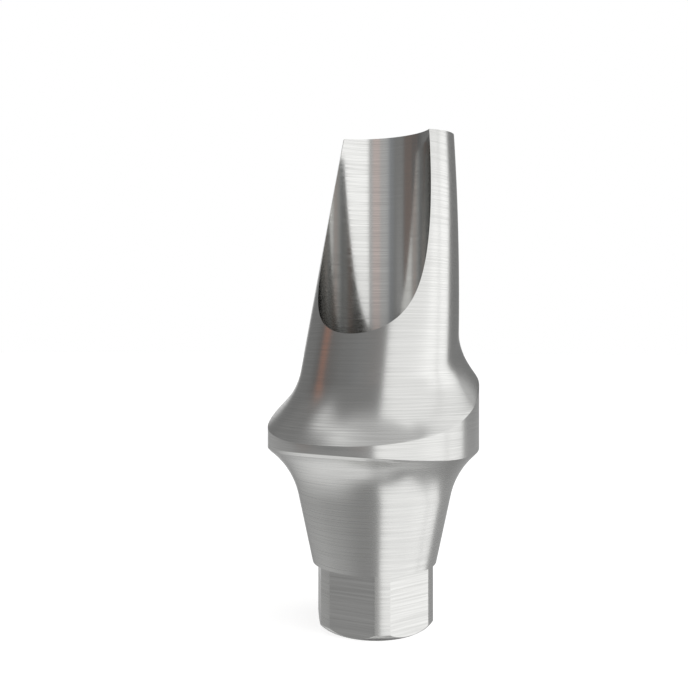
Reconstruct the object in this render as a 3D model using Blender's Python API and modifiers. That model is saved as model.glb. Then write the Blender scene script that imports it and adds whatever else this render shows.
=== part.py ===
# Angled dental abutment: a turned connection end, a milled collar and a leaning post,
# opened along its low side by the screw channel.
# The implant axis is Z, the end face stands at Z = 0, and the post leans towards +Y.
import bpy
from math import acos, cos, pi, radians, sin, tan
from mathutils import Vector

for old in list(bpy.data.objects):
    bpy.data.objects.remove(old, do_unlink=True)

mm = 0.001

# hexagonal end
hexAcrossFlats = 2.50 * mm
hexCornerRadius = 1.357 * mm
hexHeight = 1.442 * mm
endRadius = 1.143 * mm
endChamferAngle = radians(49.5)
endChamferCrown = 0.022 * mm

# turned cone, and the trumpet under the collar: one arc from the cone out past the collar
coneRootRadius = 1.404 * mm
coneHalfAngle = radians(12.1)
coneTopHeight = 2.956 * mm
trumpetRadius = 1.744 * mm
undersideAngle = radians(68.0)

# collar: an oval land, deeper front to back than across, over a narrow chamfer
collarHalfWidth = 2.354 * mm
collarHalfDepth = 2.656 * mm
collarShiftX = -0.045 * mm
collarShiftY = 0.100 * mm
footChamferWidth = 0.035 * mm
footChamferHeight = 0.057 * mm

# height of the land from its chamfer up to the margin, in mm, at sixteen equal steps round:
# low side, flank towards +X, high side, flank towards -X
landHeights = [
    0.18, 0.23, 0.39, 0.66,
    1.04, 1.47, 1.57, 1.56,
    1.55, 1.54, 1.49, 1.28,
    0.91, 0.57, 0.36, 0.21,
]

# flare between margin and post
flareHeight = 1.219 * mm
flareEdgeAngle = radians(54.4)
flareEdgeReach = 1.000 * mm
flareEdgeHandle = 0.152 * mm
flareRootHandle = 0.716 * mm

# leaning post
postTilt = radians(9.49)
postCrossing = 1.968 * mm
postHeadHeight = 11.400 * mm
postHeadRadius = 1.348 * mm
postTaper = 0.1065
postTaperFade = -4.9
postBow = -9.2
headSlope = radians(-6.1)

# screw channel, seat and shank bore
channelRadius = 1.283 * mm
seatTopHeight = 2.700 * mm
seatAngle = radians(45.0)
shankBoreRadius = 1.000 * mm

# bar stock the part is cut from, and how far the cutters run past it
barRadius = 3.300 * mm
barTop = 12.400 * mm
overrun = 0.500 * mm

# a machined edge is crisp from this angle between its two faces
crispFrom = radians(15.0)

turns = 96
flareRings = 10
postRings = 6
arcPoints = 13
crownPoints = 4

partCollection = bpy.data.collections.new("dental_abutment")
cutterCollection = bpy.data.collections.new("cutters")
bpy.context.scene.collection.children.link(partCollection)
bpy.context.scene.collection.children.link(cutterCollection)


def metalMaterial(name, colour, roughness):
    mat = bpy.data.materials.new(name)
    mat.use_nodes = True
    shader = mat.node_tree.nodes["Principled BSDF"]
    shader.inputs["Base Color"].default_value = (*colour, 1.0)
    shader.inputs["Metallic"].default_value = 1.0
    shader.inputs["Roughness"].default_value = roughness
    mat.diffuse_color = (*colour, 1.0)
    return mat


def addObject(name, verts, faces, collection, material=None):
    mesh = bpy.data.meshes.new(name)
    mesh.from_pydata([tuple(v) for v in verts], [], faces)
    mesh.validate()
    for face in mesh.polygons:
        face.use_smooth = True
    obj = bpy.data.objects.new(name, mesh)
    collection.objects.link(obj)
    if material:
        mesh.materials.append(material)
    if collection is cutterCollection:
        obj.hide_render = True
        obj.display_type = "WIRE"
    return obj


def turned(name, profile, collection, material=None):
    # closed profile at +X, running down its outer side, swept once about Z
    mesh = bpy.data.meshes.new(name)
    count = len(profile)
    verts = [(r, 0.0, z) for r, z in profile]
    edges = [(i, (i + 1) % count) for i in range(count)]
    mesh.from_pydata(verts, edges, [])
    obj = bpy.data.objects.new(name, mesh)
    collection.objects.link(obj)
    if material:
        mesh.materials.append(material)
    screw = obj.modifiers.new("turn", "SCREW")
    screw.axis = "Z"
    screw.steps = turns
    screw.render_steps = turns
    screw.use_merge_vertices = True
    screw.merge_threshold = 1e-7
    screw.use_smooth_shade = True
    return obj


def boolean(target, cutter, operation):
    mod = target.modifiers.new(cutter.name, "BOOLEAN")
    mod.operation = operation
    mod.solver = "EXACT"
    mod.object = cutter


def landHeight(angle):
    # smooth closed curve through the heights of the land
    count = len(landHeights)
    place = angle / (2 * pi) * count
    index = int(place)
    part = place - index
    a, b, c, d = (landHeights[(index + k) % count] for k in (-1, 0, 1, 2))
    curve = 2 * b + (c - a) * part
    curve += (2 * a - 5 * b + 4 * c - d) * part ** 2
    curve += (3 * b - a - 3 * c + d) * part ** 3
    return 0.5 * curve * mm


postAxis = Vector((0.0, sin(postTilt), cos(postTilt)))
postAway = Vector((0.0, cos(postTilt), -sin(postTilt)))
postLength = (postHeadHeight - postCrossing) / cos(postTilt)
headCentre = Vector((0.0, 0.0, postCrossing)) + postAxis * postLength
headNormal = Vector((0.0, sin(headSlope), cos(headSlope)))


def postPoint(angle, depth):
    # point on the post's wall, depth measured down its axis from the head's centre
    around = Vector((sin(angle), 0.0, 0.0)) - cos(angle) * postAway
    radius = postHeadRadius + postTaper * depth + postTaperFade * depth ** 2
    return headCentre - postAxis * depth + postBow * depth ** 2 * postAway + radius * around


def solveDepth(angle, measure, low, high):
    # depth at which the measure of the wall's point passes zero
    for _ in range(50):
        middle = 0.5 * (low + high)
        if measure(postPoint(angle, middle)) > 0:
            low = middle
        else:
            high = middle
    return 0.5 * (low + high)


coneTopRadius = coneRootRadius + (coneTopHeight - hexHeight) * tan(coneHalfAngle)


def trumpetArc():
    # the turned underside's curve, from its outer end down to the cone
    arc = []
    for k in range(arcPoints):
        a = undersideAngle + (coneHalfAngle - undersideAngle) * k / (arcPoints - 1)
        r = coneTopRadius + trumpetRadius * (cos(coneHalfAngle) - cos(a))
        arc.append((r, coneTopHeight + trumpetRadius * (sin(a) - sin(coneHalfAngle))))
    return arc


def undersideHeight(radius):
    # height of the turned underside: on the trumpet's arc, and straight on from its end
    arcRadius, arcHeight = trumpetArc()[0]
    if radius > arcRadius:
        return arcHeight + (radius - arcRadius) / tan(undersideAngle)
    a = acos(cos(coneHalfAngle) - (radius - coneTopRadius) / trumpetRadius)
    return coneTopHeight + trumpetRadius * (sin(a) - sin(coneHalfAngle))


def millingForm():
    # outline left by the milling: sleeve past the turned end, foot chamfer, collar, flare, post
    rings = [[] for _ in range(4)]
    flare = [[] for _ in range(flareRings)]
    post = [[] for _ in range(postRings)]
    for step in range(turns):
        angle = 2 * pi * step / turns
        outward = Vector((sin(angle), -cos(angle), 0.0))
        collarX = collarShiftX + collarHalfWidth * sin(angle)
        collarY = collarShiftY - collarHalfDepth * cos(angle)
        collar = Vector((collarX, collarY, 0.0))
        foot = undersideHeight(collar.length - footChamferWidth) + footChamferHeight
        # the chamfer runs on past the underside to the sleeve, so that it cuts clean
        sleeve = collar * (1 - 2 * footChamferWidth / collar.length)
        rings[0].append(sleeve + Vector((0, 0, -overrun)))
        rings[1].append(sleeve + Vector((0, 0, foot - 2 * footChamferHeight)))
        rings[2].append(collar + Vector((0, 0, foot)))
        edgeHeight = foot + landHeight(angle)
        edge = collar + Vector((0, 0, edgeHeight))
        rings[3].append(edge)
        rootHeight = edgeHeight + flareHeight
        rootDepth = solveDepth(angle, lambda p: p.z - rootHeight, 0.0, postLength)
        root = postPoint(angle, rootDepth)
        rise = (postPoint(angle, rootDepth - 1e-5) - root).normalized()
        shoulder = (edge - root).dot(outward)
        lean = flareEdgeAngle * min(max(shoulder / flareEdgeReach, 0.0), 1.0)
        edgeHandle = edge + flareEdgeHandle * (cos(lean) * Vector((0, 0, 1)) - sin(lean) * outward)
        rootHandle = root - flareRootHandle * rise
        for k in range(flareRings):
            t = (k + 1) / flareRings
            s = 1 - t
            point = s ** 3 * edge + 3 * s * s * t * edgeHandle
            flare[k].append(point + 3 * s * t * t * rootHandle + t ** 3 * root)
        headDepth = solveDepth(
            angle, lambda p: (p - headCentre).dot(headNormal), -postHeadRadius, postHeadRadius)
        for k in range(postRings):
            post[k].append(postPoint(angle, rootDepth + (headDepth - rootDepth) * (k + 1) / postRings))
    rings += flare + post
    verts = [p for ring in rings for p in ring]
    faces = []
    for k in range(len(rings) - 1):
        for i in range(turns):
            j = (i + 1) % turns
            faces.append((k * turns + i, k * turns + j, (k + 1) * turns + j, (k + 1) * turns + i))
    faces.append(tuple(range(turns - 1, -1, -1)))
    faces.append(tuple(range((len(rings) - 1) * turns, len(rings) * turns)))
    return verts, faces


def blankProfile():
    # outer side from the top down, then the bore back up
    arc = trumpetArc()
    chamferHeight = (hexCornerRadius - endRadius) / tan(endChamferAngle)
    seatBottom = seatTopHeight - (channelRadius - shankBoreRadius) / tan(seatAngle)
    outer = [(barRadius, barTop), (barRadius, undersideHeight(barRadius))] + arc
    outer += [(coneRootRadius, hexHeight), (hexCornerRadius, hexHeight)]
    for k in range(crownPoints + 1):
        t = k / crownPoints
        crown = endChamferCrown * 4 * t * (1 - t)
        r = hexCornerRadius + (endRadius - hexCornerRadius) * t + crown * cos(endChamferAngle)
        outer.append((r, chamferHeight * (1 - t) - crown * sin(endChamferAngle)))
    bore = [(shankBoreRadius, 0.0), (shankBoreRadius, seatBottom)]
    return outer + bore + [(channelRadius, seatTopHeight), (channelRadius, barTop)]


def hexRing():
    # block with a hexagonal hole, its flats square to the plane the post leans in
    cornerRadius = hexAcrossFlats / 2 / cos(pi / 6)
    verts = []
    for z in (-overrun, hexHeight):
        for k in range(6):
            a = pi / 3 * k
            verts.append((cornerRadius * cos(a), cornerRadius * sin(a), z))
        for k in range(6):
            a = pi / 3 * k
            verts.append((barRadius * cos(a), barRadius * sin(a), z))
    faces = []
    for k in range(6):
        j = (k + 1) % 6
        faces.append((j, k, 12 + k, 12 + j))
        faces.append((6 + k, 6 + j, 18 + j, 18 + k))
        faces.append((k, j, 6 + j, 6 + k))
        faces.append((12 + j, 12 + k, 18 + k, 18 + j))
    return verts, faces


def cutThrough(target):
    # the cuts taken as the body's own mesh, so that its machined edges can stay crisp
    graph = bpy.context.evaluated_depsgraph_get()
    mesh = bpy.data.meshes.new_from_object(target.evaluated_get(graph))
    mesh.name = target.name
    target.modifiers.clear()
    target.data = mesh
    mesh.shade_smooth()
    mesh.set_sharp_from_angle(angle=crispFrom)


titanium = metalMaterial("titanium_alloy", (0.56, 0.55, 0.53), 0.3)

body = turned("abutment_body", blankProfile(), partCollection, titanium)
form = addObject("milling_form", *millingForm(), cutterCollection)
flats = addObject("hex_cutter", *hexRing(), cutterCollection)
for face in flats.data.polygons:
    face.use_smooth = False
boolean(body, form, "INTERSECT")
boolean(body, flats, "DIFFERENCE")
cutThrough(body)
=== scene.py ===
from math import acos, atan2, cos, pi, radians, sin, tan

import bpy
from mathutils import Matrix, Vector


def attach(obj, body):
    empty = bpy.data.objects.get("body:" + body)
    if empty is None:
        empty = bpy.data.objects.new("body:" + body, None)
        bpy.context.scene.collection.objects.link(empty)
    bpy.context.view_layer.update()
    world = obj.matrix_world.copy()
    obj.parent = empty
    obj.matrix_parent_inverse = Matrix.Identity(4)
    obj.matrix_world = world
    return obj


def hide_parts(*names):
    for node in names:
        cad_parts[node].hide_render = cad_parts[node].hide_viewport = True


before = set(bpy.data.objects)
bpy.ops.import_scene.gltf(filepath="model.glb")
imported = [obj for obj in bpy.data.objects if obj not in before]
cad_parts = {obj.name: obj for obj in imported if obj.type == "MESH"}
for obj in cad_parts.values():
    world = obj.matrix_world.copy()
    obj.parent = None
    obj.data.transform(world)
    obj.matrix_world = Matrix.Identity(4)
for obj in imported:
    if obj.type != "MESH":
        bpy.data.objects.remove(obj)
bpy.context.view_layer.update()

mm = 0.001
print("frame loaded:", ", ".join(sorted(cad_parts)))


def addNode(tree, kind, inputs=None, links=None, **settings):
    # one node with its settings, its socket values and the links that come into it
    node = tree.nodes.new(kind)
    for name, value in settings.items():
        setattr(node, name, value)
    for key, value in (inputs or {}).items():
        node.inputs[key].default_value = value
    for key, socket in (links or {}).items():
        tree.links.new(socket, node.inputs[key])
    return node


def linear(hexCode):
    # sRGB hex to linear colour
    parts = [int(hexCode[i:i + 2], 16) / 255 for i in (1, 3, 5)]
    parts = [c / 12.92 if c <= 0.04045 else ((c + 0.055) / 1.055) ** 2.4 for c in parts]
    return (*parts, 1.0)


# the view: a level camera, turned from the low side of the post towards +X
view = {
    "turn": radians(24.7411),
    "distance": 18.1534 * mm,
    "aside": 0.6624 * mm,
    "height": 6.2717 * mm,
    "lens": 41.66,
    "sensor": 36.0,
    "shiftX": -0.0019,
    "shiftY": 0.0049,
    "nearest": 0.1 * mm,
    "farthest": 10.0,
}
towardCamera = Vector((sin(view["turn"]), -cos(view["turn"]), 0.0))
towardRight = Vector((cos(view["turn"]), sin(view["turn"]), 0.0))


def makeCamera():
    lens = bpy.data.cameras.new("camera")
    lens.lens = view["lens"]
    lens.sensor_width = view["sensor"]
    lens.shift_x = view["shiftX"]
    lens.shift_y = view["shiftY"]
    lens.clip_start = view["nearest"]
    lens.clip_end = view["farthest"]
    camera = bpy.data.objects.new("camera", lens)
    bpy.context.scene.collection.objects.link(camera)
    camera.location = towardCamera * view["distance"] - towardRight * view["aside"]
    camera.location.z = view["height"]
    camera.rotation_euler = (pi / 2, 0, view["turn"])
    bpy.context.scene.camera = camera


makeCamera()
bpy.context.scene.view_settings.view_transform = "Standard"
print("camera placed")


# the body, machined from bar: the driving sizes of the part, with finer steps
body = {
    # hexagonal end
    "hexAcrossFlats": 2.50 * mm,
    "hexCornerRadius": 1.357 * mm,
    "hexHeight": 1.442 * mm,
    "endRadius": 1.143 * mm,
    "endChamferAngle": radians(49.5),
    "endChamferCrown": 0.022 * mm,
    # turned cone, and the trumpet under the collar: one arc from the cone out past the collar
    "coneRootRadius": 1.404 * mm,
    "coneHalfAngle": radians(12.1),
    "coneTopHeight": 2.956 * mm,
    "trumpetRadius": 1.744 * mm,
    "undersideAngle": radians(68.0),
    # collar: an oval land, which stands where the part's own chamfer ends
    "collarHalfWidth": 2.354 * mm,
    "collarHalfDepth": 2.656 * mm,
    "collarShiftX": -0.045 * mm,
    "collarShiftY": 0.100 * mm,
    "landInset": 0.035 * mm,
    "landRise": 0.057 * mm,
    "landHeights": [  # in mm, at sixteen equal steps round from the low side
        0.18, 0.23, 0.39, 0.66,
        1.04, 1.47, 1.57, 1.56,
        1.55, 1.54, 1.49, 1.28,
        0.91, 0.57, 0.36, 0.21,
    ],
    # foot chamfer as wide and flat as its highlight shows it, and the rounding above it
    "footChamferWidth": 0.070 * mm,
    "footChamferHeight": 0.075 * mm,
    "footRounding": 0.03 * mm,
    # flare between margin and post
    "flareHeight": 1.219 * mm,
    "flareEdgeAngle": radians(54.4),
    "flareEdgeReach": 1.000 * mm,
    "flareEdgeHandle": 0.152 * mm,
    "flareRootHandle": 0.716 * mm,
    # leaning post, its head a hair under the part's, so that the finer steps stay within it
    "postTilt": radians(9.49),
    "postCrossing": 1.968 * mm,
    "postHeadHeight": 11.3999 * mm,
    "postHeadRadius": 1.3479 * mm,
    "postTaper": 0.1065,
    "postTaperFade": -4.9,
    "postBow": -9.2,
    "headSlope": radians(-6.1),
    # screw channel, seat and shank bore
    "channelRadius": 1.283 * mm,
    "seatTopHeight": 2.700 * mm,
    "seatAngle": radians(45.0),
    "shankBoreRadius": 1.000 * mm,
    # bar stock the part is cut from, and how far the cutters run past its end
    "barRadius": 3.300 * mm,
    "barTop": 12.400 * mm,
    "overrun": 0.500 * mm,
    # steps of the curves
    "turns": 360,
    "footRings": 5,
    "flareRings": 48,
    "postRings": 36,
    "arcPoints": 36,
    "crownPoints": 8,
    # depths between which the wall meets the head, how often a search on the wall is halved, and
    # the short step up the wall that gives its direction
    "headSearch": (-1.0 * mm, 2.0 * mm),
    "halvings": 40,
    "riseStep": 0.01 * mm,
    # a face counts as level from this height of its normal, and an edge as crisp from this angle
    "levelFrom": 0.9,
    "crispFrom": radians(12.0),
}


def landHeight(angle):
    # smooth closed curve through the heights of the land
    count = len(body["landHeights"])
    place = angle / (2 * pi) * count
    index = int(place)
    part = place - index
    a, b, c, d = (body["landHeights"][(index + k) % count] for k in (-1, 0, 1, 2))
    curve = 2 * b + (c - a) * part
    curve += (2 * a - 5 * b + 4 * c - d) * part ** 2
    curve += (3 * b - a - 3 * c + d) * part ** 3
    return 0.5 * curve * mm


postAxis = Vector((0.0, sin(body["postTilt"]), cos(body["postTilt"])))
postAway = Vector((0.0, cos(body["postTilt"]), -sin(body["postTilt"])))
postLength = (body["postHeadHeight"] - body["postCrossing"]) / cos(body["postTilt"])
headCentre = Vector((0.0, 0.0, body["postCrossing"])) + postAxis * postLength
headNormal = Vector((0.0, sin(body["headSlope"]), cos(body["headSlope"])))


def postPoint(angle, depth):
    # point on the post's wall, depth measured down its axis from the head's centre
    around = Vector((sin(angle), 0.0, 0.0)) - cos(angle) * postAway
    radius = body["postHeadRadius"] + body["postTaper"] * depth + body["postTaperFade"] * depth ** 2
    return headCentre - postAxis * depth + body["postBow"] * depth ** 2 * postAway + radius * around


def solveDepth(angle, measure, low, high):
    # depth at which the measure of the wall's point passes zero
    for _ in range(body["halvings"]):
        middle = 0.5 * (low + high)
        if measure(postPoint(angle, middle)) > 0:
            low = middle
        else:
            high = middle
    return 0.5 * (low + high)


coneHeight = body["coneTopHeight"] - body["hexHeight"]
coneTopRadius = body["coneRootRadius"] + coneHeight * tan(body["coneHalfAngle"])


def trumpetArc():
    # the turned underside's curve, from its outer end down to the cone
    start = body["coneHalfAngle"]
    arc = []
    for k in range(body["arcPoints"]):
        share = k / (body["arcPoints"] - 1)
        a = body["undersideAngle"] + (start - body["undersideAngle"]) * share
        r = coneTopRadius + body["trumpetRadius"] * (cos(start) - cos(a))
        arc.append((r, body["coneTopHeight"] + body["trumpetRadius"] * (sin(a) - sin(start))))
    return arc


underside = trumpetArc()


def undersideHeight(radius):
    # height of the turned underside: on the trumpet's arc, and straight on from its end
    arcRadius, arcHeight = underside[0]
    if radius > arcRadius:
        return arcHeight + (radius - arcRadius) / tan(body["undersideAngle"])
    a = acos(cos(body["coneHalfAngle"]) - (radius - coneTopRadius) / body["trumpetRadius"])
    return body["coneTopHeight"] + body["trumpetRadius"] * (sin(a) - sin(body["coneHalfAngle"]))


def addMesh(name, verts, faces, material):
    mesh = bpy.data.meshes.new(name)
    mesh.from_pydata([tuple(v) for v in verts], [], faces)
    mesh.materials.append(material)
    piece = bpy.data.objects.new(name, mesh)
    bpy.context.scene.collection.objects.link(piece)
    return piece


def turnedBlank(name, material):
    # closed profile swept about Z: outer side from the top down, then the bore back up
    hexCorner, end = body["hexCornerRadius"], body["endRadius"]
    channel, bore = body["channelRadius"], body["shankBoreRadius"]
    chamferHeight = (hexCorner - end) / tan(body["endChamferAngle"])
    seatBottom = body["seatTopHeight"] - (channel - bore) / tan(body["seatAngle"])
    profile = [(body["barRadius"], body["barTop"])]
    profile += [(body["barRadius"], undersideHeight(body["barRadius"]))]
    profile += underside
    profile += [(body["coneRootRadius"], body["hexHeight"]), (hexCorner, body["hexHeight"])]
    for k in range(body["crownPoints"] + 1):
        t = k / body["crownPoints"]
        crown = body["endChamferCrown"] * 4 * t * (1 - t)
        r = hexCorner + (end - hexCorner) * t + crown * cos(body["endChamferAngle"])
        profile.append((r, chamferHeight * (1 - t) - crown * sin(body["endChamferAngle"])))
    profile += [(bore, 0.0), (bore, seatBottom)]
    profile += [(channel, body["seatTopHeight"]), (channel, body["barTop"])]
    verts = []
    for step in range(body["turns"]):
        angle = 2 * pi * step / body["turns"]
        verts += [(r * sin(angle), -r * cos(angle), z) for r, z in profile]
    faces = []
    count = len(profile)
    for i in range(body["turns"]):
        j = (i + 1) % body["turns"]
        for k in range(count):
            n = (k + 1) % count
            faces.append((i * count + k, i * count + n, j * count + n, j * count + k))
    return addMesh(name, verts, faces, material)


def millingForm(name, material):
    # what the milling leaves: foot chamfer, oval collar, flare and post
    inset = body["footChamferWidth"]
    chamferAngle = atan2(inset, body["footChamferHeight"])
    rounding = body["footRounding"]
    turns = body["turns"]
    sleeve, chamferEnd, margin = [], [], []
    foot = [[] for _ in range(body["footRings"])]
    flare = [[] for _ in range(body["flareRings"])]
    post = [[] for _ in range(body["postRings"])]
    for step in range(turns):
        angle = 2 * pi * step / turns
        outward = Vector((sin(angle), -cos(angle), 0.0))
        collarX = body["collarShiftX"] + body["collarHalfWidth"] * sin(angle)
        collarY = body["collarShiftY"] - body["collarHalfDepth"] * cos(angle)
        collar = Vector((collarX, collarY, 0.0))
        chamferTop = undersideHeight(collar.length - inset) + body["footChamferHeight"]
        # the chamfer runs on past the underside, down to a sleeve that clears the cone
        past = collar * (1 - 2 * inset / collar.length)
        sleeve.append(past + Vector((0, 0, -body["overrun"])))
        chamferEnd.append(past + Vector((0, 0, chamferTop - 2 * body["footChamferHeight"])))
        # its upper edge is broken by a small rounding
        start = chamferTop + rounding * tan(chamferAngle / 2)
        for k in range(body["footRings"]):
            a = chamferAngle * (1 - k / (body["footRings"] - 1))
            inward = rounding * (1 - cos(a)) / collar.length
            foot[k].append(collar * (1 - inward) + Vector((0, 0, start - rounding * sin(a))))
        # the land rises to the margin
        landFoot = undersideHeight(collar.length - body["landInset"]) + body["landRise"]
        edgeHeight = landFoot + landHeight(angle)
        edge = collar + Vector((0, 0, edgeHeight))
        margin.append(edge)
        # the flare is one curve from the margin to the post's wall
        rootHeight = edgeHeight + body["flareHeight"]
        rootDepth = solveDepth(angle, lambda p: p.z - rootHeight, 0.0, postLength)
        root = postPoint(angle, rootDepth)
        rise = (postPoint(angle, rootDepth - body["riseStep"]) - root).normalized()
        shoulder = (edge - root).dot(outward)
        lean = body["flareEdgeAngle"] * min(max(shoulder / body["flareEdgeReach"], 0.0), 1.0)
        leaning = cos(lean) * Vector((0, 0, 1)) - sin(lean) * outward
        edgeHandle = edge + body["flareEdgeHandle"] * leaning
        rootHandle = root - body["flareRootHandle"] * rise
        for k in range(body["flareRings"]):
            t = (k + 1) / body["flareRings"]
            s = 1 - t
            point = s ** 3 * edge + 3 * s * s * t * edgeHandle
            flare[k].append(point + 3 * s * t * t * rootHandle + t ** 3 * root)
        # the post goes on to its head
        headDepth = solveDepth(angle, lambda p: (p - headCentre).dot(headNormal), *body["headSearch"])
        rest = headDepth - rootDepth
        for k in range(body["postRings"]):
            post[k].append(postPoint(angle, rootDepth + rest * (k + 1) / body["postRings"]))
    rings = [sleeve, chamferEnd, *foot, margin, *flare, *post]
    faces = []
    for k in range(len(rings) - 1):
        for i in range(turns):
            j = (i + 1) % turns
            faces.append((k * turns + i, k * turns + j, (k + 1) * turns + j, (k + 1) * turns + i))
    faces.append(tuple(range(turns - 1, -1, -1)))
    faces.append(tuple(range((len(rings) - 1) * turns, len(rings) * turns)))
    return addMesh(name, [p for ring in rings for p in ring], faces, material)


def hexRing(name, material):
    # block with a hexagonal hole, its flats square to the plane the post leans in
    sides = 6
    cornerRadius = body["hexAcrossFlats"] / 2 / cos(pi / sides)
    verts = []
    for z in (-body["overrun"], body["hexHeight"]):
        for radius in (cornerRadius, body["barRadius"]):
            corners = [2 * pi / sides * k for k in range(sides)]
            verts += [(radius * cos(a), radius * sin(a), z) for a in corners]
    hole, rim, holeTop, rimTop = (sides * k for k in range(4))
    faces = []
    for k in range(sides):
        j = (k + 1) % sides
        faces.append((hole + j, hole + k, holeTop + k, holeTop + j))
        faces.append((rim + k, rim + j, rimTop + j, rimTop + k))
        faces.append((hole + k, hole + j, rim + j, rim + k))
        faces.append((holeTop + j, holeTop + k, rimTop + k, rimTop + j))
    return addMesh(name, verts, faces, material)


# titanium alloy, machined bare: a neutral grey metal with fine level tool lines round the axis.
# The lines' spacing, length and depth are in mm. A real feed leaves them about 0.01 mm apart, too
# fine for the picture, so the coarsest are drawn as wide as they need to show, with two finer
# sets between them
finish = {
    # cone, underside and hexagonal end: a satin sheen with soft ends to its reflections
    "turned": {"roughness": 0.26, "spread": 0.03, "anisotropy": 0.4, "dark": "#d2d2d0", "pale": "#dcdcda",
               "lineSpacing": 0.028, "lineLength": 2.2, "lineDepth": 0.00006},
    # collar, flare and post: a little glossier than what is turned
    "milled": {"roughness": 0.24, "spread": 0.03, "anisotropy": 0.4, "dark": "#d2d2d0", "pale": "#dcdcda",
               "lineSpacing": 0.026, "lineLength": 2.0, "lineDepth": 0.00006},
    # channel, seat and bore: the glossiest, so that the channel mirrors the room in upright bands. Their
    # base colour is a little darker than the turned metal's: painted shade in the hollow of the channel
    "bored": {"roughness": 0.18, "spread": 0.06, "anisotropy": 0.4, "dark": "#cdcdcb", "pale": "#d5d5d3",
              "lineSpacing": 0.024, "lineLength": 1.4, "lineDepth": 0.00005},
    # flats of the hexagon: each mirrors one even tone, crossed by the widest and clearest lines
    "flat": {"roughness": 0.24, "spread": 0.03, "anisotropy": 0.4, "dark": "#cfcfcd", "pale": "#dededc",
             "lineSpacing": 0.032, "lineLength": 2.2, "lineDepth": 0.00005},
}

# what the tool lines have in common: their finer sets, the part of the noise that goes from dark
# to pale and from rough to glossy, and the turn that spreads the sheen across them
toolLines = {
    "detail": 2.0,
    "detailRoughness": 0.6,
    "shadeFrom": (0.36, 0.64),
    "glossFrom": (0.3, 0.7),
    "sheenTurn": 0.25,
}


def titaniumAlloy(name, made):
    material = bpy.data.materials.new(name)
    material.use_nodes = True
    tree = material.node_tree
    shader = tree.nodes["Principled BSDF"]
    shader.inputs["Metallic"].default_value = 1.0
    shader.inputs["Anisotropic"].default_value = made["anisotropy"]
    shader.inputs["Anisotropic Rotation"].default_value = toolLines["sheenTurn"]
    # noise that is drawn out level and squeezed in height makes the lines
    place = addNode(tree, "ShaderNodeTexCoord")
    along = 1 / (made["lineLength"] * mm)
    across = 1 / (made["lineSpacing"] * mm)
    stretch = addNode(tree, "ShaderNodeVectorMath", {1: (along, along, across)},
                      {0: place.outputs["Object"]}, operation="MULTIPLY")
    noise = {"Scale": 1.0, "Detail": toolLines["detail"], "Roughness": toolLines["detailRoughness"]}
    lines = addNode(tree, "ShaderNodeTexNoise", noise, {"Vector": stretch.outputs[0]})
    low, high = toolLines["shadeFrom"]
    shade = addNode(tree, "ShaderNodeMapRange", {"From Min": low, "From Max": high},
                    {"Value": lines.outputs["Fac"]})
    # 6 and 7 are the colours that go into a colour mix, and 2 is the one that comes out
    tone = addNode(tree, "ShaderNodeMix", {6: linear(made["dark"]), 7: linear(made["pale"])},
                   {0: shade.outputs[0]}, data_type="RGBA")
    tree.links.new(tone.outputs[2], shader.inputs["Base Color"])
    low, high = toolLines["glossFrom"]
    gloss = {"From Min": low, "From Max": high,
             "To Min": made["roughness"] + made["spread"], "To Max": made["roughness"] - made["spread"]}
    rough = addNode(tree, "ShaderNodeMapRange", gloss, {"Value": lines.outputs["Fac"]})
    tree.links.new(rough.outputs[0], shader.inputs["Roughness"])
    bump = addNode(tree, "ShaderNodeBump", {"Strength": 1.0, "Distance": made["lineDepth"] * mm},
                   {"Height": lines.outputs["Fac"]})
    tree.links.new(bump.outputs[0], shader.inputs["Normal"])
    circle = addNode(tree, "ShaderNodeTangent", direction_type="RADIAL", axis="Z")
    tree.links.new(circle.outputs[0], shader.inputs["Tangent"])
    return material


def makeBody():
    blank = turnedBlank("abutment", titaniumAlloy("turned titanium alloy", finish["turned"]))
    form = millingForm("milling_form", titaniumAlloy("milled titanium alloy", finish["milled"]))
    flats = hexRing("hex_cutter", titaniumAlloy("milled flats in titanium alloy", finish["flat"]))
    # the bored metal's darker base paints shade into the channel, its seat and the bore
    blank.data.materials.append(titaniumAlloy("bored titanium alloy with painted shade", finish["bored"]))
    # walls that look towards the axis are those of the channel, its seat and the bore
    for face in blank.data.polygons:
        if abs(face.normal.z) < body["levelFrom"] and face.normal.xy.dot(face.center.xy) < 0:
            face.material_index = 1
    for cutter, operation in ((form, "INTERSECT"), (flats, "DIFFERENCE")):
        mod = blank.modifiers.new(cutter.name, "BOOLEAN")
        mod.operation = operation
        mod.solver = "EXACT"
        mod.material_mode = "TRANSFER"
        mod.object = cutter
    graph = bpy.context.evaluated_depsgraph_get()
    mesh = bpy.data.meshes.new_from_object(blank.evaluated_get(graph))
    blank.modifiers.clear()
    blank.data = mesh
    for cutter in (form, flats):
        bpy.data.objects.remove(cutter, do_unlink=True)
    mesh.shade_smooth()
    mesh.set_sharp_from_angle(angle=body["crispFrom"])
    print("body cut:", len(mesh.polygons), "faces,", [m.name for m in mesh.materials])
    return blank


abutment = makeBody()
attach(abutment, "root")
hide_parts("abutment_body")


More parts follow.
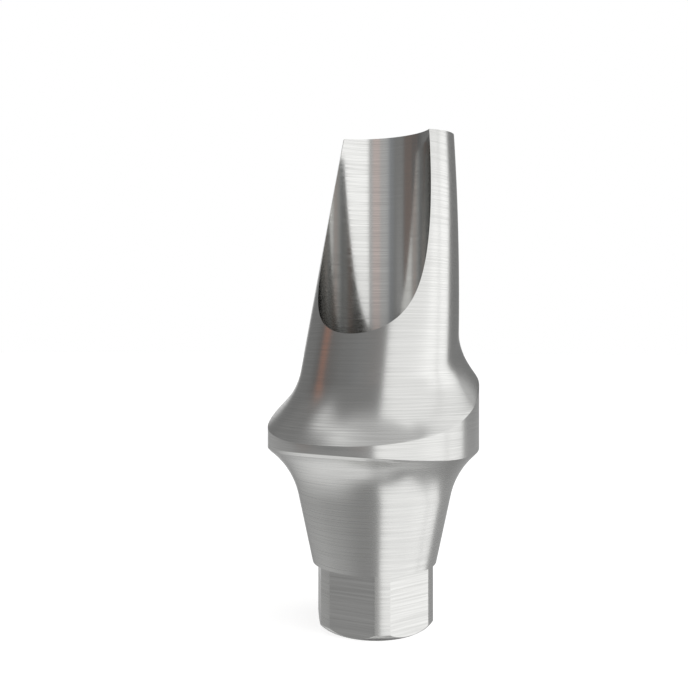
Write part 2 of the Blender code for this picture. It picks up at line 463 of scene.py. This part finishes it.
# the studio round the object. turn is measured from the camera's side, positive to the right,
# lift from the horizon, both in degrees; None leaves a side open. Each panel adds its own light
# and fades over soft: its left, right, lower and upper edge
studio = {
    "room": 0.15,
    "panels": {
        # a large softbox to the right: its top drops towards the right, a thin seam parts its wing
        "softbox": {"turn": (8.4, 89.7), "lift": (-68, 40), "soft": (1.5, 1.5, 2, 4), "strength": 0.85},
        "softboxTop": {"turn": (8.4, 78), "lift": (40, 69), "soft": (1.5, 6, 4, 2), "strength": 0.85},
        "softboxFold": {"turn": (78, 89.7), "lift": (40, 62), "soft": (6, 1.5, 4, 2), "strength": 0.85},
        "wingLow": {"turn": (91.5, 114.8), "lift": (-46, 1), "soft": (1.5, 1.5, 12, 2), "strength": 0.87},
        "wing": {"turn": (91.5, 112.5), "lift": (1, 15), "soft": (1.5, 1.5, 2, 2), "strength": 0.87},
        "wingTop": {"turn": (91.5, 118), "lift": (15, 62), "soft": (1.5, 1.5, 2, 2), "strength": 0.87},
        "middle": {"turn": (12, 74), "lift": (6, 20), "soft": (4, 4, 2, 6), "strength": 0.38},
        "middleRight": {"turn": (74, 114.8), "lift": (5, 28), "soft": (4, 1.5, 5, 4), "strength": 0.33},
        "middleLow": {"turn": (62, 98), "lift": (-34, 4), "soft": (10, 4, 12, 5), "strength": 0.10},
        # cards and cloths in front of the object, low at the camera's side
        "frontCard": {"turn": (-31, 8), "lift": (0, 24), "soft": (7, 3, 4, 6), "strength": 0.42},
        "warmCloth": {"turn": (-14, 1), "lift": (0, 24), "soft": (3, 3, 4, 6), "strength": 0.13,
                      "colour": "#ff8c4a"},
        "coolCloth": {"turn": (-44, -29), "lift": (2, 26), "soft": (3, 3, 5, 6), "strength": 0.19,
                      "colour": "#e2eaf4"},
        "sideCard": {"turn": (-67, -44), "lift": (0, 24), "soft": (4, 3, 4, 6), "strength": 0.11},
        "sideSlip": {"turn": (-64, -50), "lift": (-2, 9), "soft": (3, 3, 3, 4), "strength": 0.09},
        "brownCloth": {"turn": (-88, -68), "lift": (-6, 18), "soft": (3, 3, 6, 5), "strength": 0.07,
                       "colour": "#ffb080"},
        "orangeStrip": {"turn": (-106, -93), "lift": (18, 34), "soft": (3, 3, 2, 6), "strength": 0.23,
                        "colour": "#ff8200"},
        "leftSide": {"turn": (-170, -116), "lift": (-6, 34), "soft": (3, 8, 6, 8), "strength": 0.06},
        "leftLow": {"turn": (-152, -92), "lift": (-60, -4), "soft": (8, 16, 10, 5), "strength": 0.10},
        "frontStrip": {"turn": (-6, 8.4), "lift": (-24, -13), "soft": (3, 1.5, 3, 2), "strength": 0.14},
        "frontLow": {"turn": (-92, -6), "lift": (-30, -13), "soft": (16, 6, 5, 3), "strength": 0.04},
        "rightSide": {"turn": (118, 168), "lift": (-30, 45), "soft": (3, 3, 8, 8), "strength": 0.08},
        # light coming back from the walls, the table and the ceiling
        "dome": {"turn": (None, None), "lift": (30, None), "soft": (0, 0, 8, 0), "strength": 0.09},
        "lowWall": {"turn": (-158, 152), "lift": (None, -3), "soft": (8, 8, 0, 4), "strength": 0.15},
        "lowBackWall": {"turn": (None, -158), "lift": (-45, -3), "soft": (0, 8, 12, 4), "strength": 0.15},
        "lowFarWall": {"turn": (152, None), "lift": (-45, -3), "soft": (8, 0, 12, 4), "strength": 0.15},
        "leftTable": {"turn": (-166, -58), "lift": (None, -45), "soft": (8, 34, 0, 28), "strength": 0.53},
        "farTable": {"turn": (-166, -118), "lift": (None, -30), "soft": (8, 16, 0, 14), "strength": 0.10},
        "nearTable": {"turn": (-64, 0), "lift": (None, -74), "soft": (16, 16, 0, 5), "strength": 0.18},
        "leftBelow": {"turn": (-100, -40), "lift": (None, -69), "soft": (10, 20, 0, 5), "strength": 0.10},
        "tableUnder": {"turn": (20, 156), "lift": (None, -78), "soft": (20, 8, 0, 4), "strength": 0.20},
        "nadir": {"turn": (None, None), "lift": (None, -79), "soft": (0, 0, 0, 5), "strength": 0.13},
        "wingTable": {"turn": (98, 118), "lift": (-66, -48), "soft": (5, 3, 5, 5), "strength": 0.12},
        "rightTable": {"turn": (127, 154), "lift": (None, -54), "soft": (9, 6, 0, 16), "strength": 0.46},
        "farLeftTable": {"turn": (None, -164), "lift": (None, -75), "soft": (0, 8, 0, 5), "strength": 0.34},
        "farRightTable": {"turn": (156, None), "lift": (None, -75), "soft": (8, 0, 0, 5), "strength": 0.34},
        "ceiling": {"turn": (None, None), "lift": (68, None), "soft": (0, 0, 10, 0), "strength": 0.36},
        # a lamp over the left
        "lamp": {"turn": (-118, -86), "lift": (46, 76), "soft": (3, 18, 6, 8), "strength": 0.60},
        "lampGlow": {"turn": (-118, -50), "lift": (70, None), "soft": (3, 14, 6, 0), "strength": 0.14},
    },
    # the white backdrop behind the object, as its metal shows it: where it starts on either side,
    # how high it stands, its soft side and level edges, and its share of full white
    "backdrop": {"from": 163, "lift": (-16, 24), "softSide": 7, "softLevel": 9, "share": 0.78},
}


def softField(tree, edges):
    # a field that is 1 inside its soft edges, each given as (direction, where it is 0, where it is 1)
    field = None
    for direction, outside, inside in edges:
        edge = addNode(tree, "ShaderNodeMapRange", {"From Min": outside, "From Max": inside},
                       {"Value": direction}, interpolation_type="SMOOTHSTEP").outputs["Result"]
        if field is None:
            field = edge
        else:
            both = addNode(tree, "ShaderNodeMath", links={0: field, 1: edge}, operation="MULTIPLY")
            field = both.outputs[0]
    return field


def makeWorld():
    world = bpy.data.worlds.new("studio")
    world.use_nodes = True
    bpy.context.scene.world = world
    tree = world.node_tree
    tree.nodes.clear()

    # the direction of a ray, as its turn and its lift in degrees
    place = addNode(tree, "ShaderNodeTexCoord")
    shares = []
    for axis in (towardRight, towardCamera, (0, 0, 1)):
        share = addNode(tree, "ShaderNodeVectorMath", {1: tuple(axis)}, {0: place.outputs["Generated"]},
                        operation="DOT_PRODUCT")
        shares.append(share.outputs["Value"])
    right, near, up = shares
    bearing = addNode(tree, "ShaderNodeMath", links={0: right, 1: near}, operation="ARCTAN2")
    height = addNode(tree, "ShaderNodeMath", links={0: up}, operation="ARCSINE")
    angles = []
    for angle in (bearing, height):
        degrees = addNode(tree, "ShaderNodeMath", links={0: angle.outputs[0]}, operation="DEGREES")
        angles.append(degrees.outputs[0])
    turn, lift = angles

    total = addNode(tree, "ShaderNodeVectorMath", {0: (1, 1, 1), "Scale": studio["room"]},
                    operation="SCALE")
    # the left, right, lower and upper edge of a panel, each with the way in from it
    ways = ((turn, 1), (turn, -1), (lift, 1), (lift, -1))
    for panel in studio["panels"].values():
        edges = []
        for (direction, inward), edge, soft in zip(ways, (*panel["turn"], *panel["lift"]), panel["soft"]):
            if edge is not None:
                edges.append((direction, edge - inward * soft, edge + inward * soft))
        light = tuple(c * panel["strength"] for c in linear(panel.get("colour", "#ffffff"))[:3])
        glow = addNode(tree, "ShaderNodeVectorMath", {0: light}, {"Scale": softField(tree, edges)},
                       operation="SCALE")
        total = addNode(tree, "ShaderNodeVectorMath", links={0: total.outputs[0], 1: glow.outputs[0]},
                        operation="ADD")
    room = addNode(tree, "ShaderNodeBackground", {"Strength": 1.0}, {"Color": total.outputs[0]})

    # white to the camera all round, and to glossy and transmitted rays where the backdrop stands
    white = addNode(tree, "ShaderNodeBackground", {"Color": (1, 1, 1, 1), "Strength": 1.0})
    ray = addNode(tree, "ShaderNodeLightPath")
    backdrop = studio["backdrop"]
    start, side, level = backdrop["from"], backdrop["softSide"], backdrop["softLevel"]
    foot, head = backdrop["lift"]
    eitherSide = addNode(tree, "ShaderNodeMath", links={0: turn}, operation="ABSOLUTE").outputs[0]
    behind = softField(tree, [
        (eitherSide, start - side, start + side),
        (lift, foot - level, foot + level),
        (lift, head + level, head - level),
    ])
    mirrored = addNode(tree, "ShaderNodeMath", operation="MAXIMUM",
                       links={0: ray.outputs["Is Glossy Ray"], 1: ray.outputs["Is Transmission Ray"]})
    seen = addNode(tree, "ShaderNodeMath", links={0: mirrored.outputs[0], 1: behind}, operation="MULTIPLY")
    dimmed = addNode(tree, "ShaderNodeMath", {1: backdrop["share"]}, {0: seen.outputs[0]},
                     operation="MULTIPLY")
    shown = addNode(tree, "ShaderNodeMath", links={0: ray.outputs["Is Camera Ray"], 1: dimmed.outputs[0]},
                    operation="MAXIMUM")
    mix = addNode(tree, "ShaderNodeMixShader",
                  links={0: shown.outputs[0], 1: room.outputs[0], 2: white.outputs[0]})
    addNode(tree, "ShaderNodeOutputWorld", links={"Surface": mix.outputs[0]})


# the floor: a matt white card that takes the object's shadow. It glows to the camera alone, so that
# it shows white, and the metal mirrors the studio's panels in its place
floorCard = {
    "reach": 0.6,
    "gap": 0.002 * mm,
    "colour": "#e8e8e8",
    "glow": 0.72,
}


def makeFloor():
    reach = floorCard["reach"]
    corners = [(-reach, -reach, 0), (reach, -reach, 0), (reach, reach, 0), (-reach, reach, 0)]
    material = bpy.data.materials.new("matt white card")
    material.use_nodes = True
    tree = material.node_tree
    tree.nodes.clear()
    card = addNode(tree, "ShaderNodeBsdfDiffuse", {"Color": linear(floorCard["colour"])})
    ray = addNode(tree, "ShaderNodeLightPath")
    lift = addNode(tree, "ShaderNodeMath", {1: floorCard["glow"]}, {0: ray.outputs["Is Camera Ray"]},
                   operation="MULTIPLY")
    glow = addNode(tree, "ShaderNodeEmission", {"Color": (1, 1, 1, 1)}, {"Strength": lift.outputs[0]})
    both = addNode(tree, "ShaderNodeAddShader", links={0: card.outputs[0], 1: glow.outputs[0]})
    addNode(tree, "ShaderNodeOutputMaterial", links={"Surface": both.outputs[0]})
    floor = addMesh("floor", corners, [(0, 1, 2, 3)], material)
    floor.location.z = -floorCard["gap"]
    floor.visible_glossy = False


makeWorld()
makeFloor()
print("studio lit")
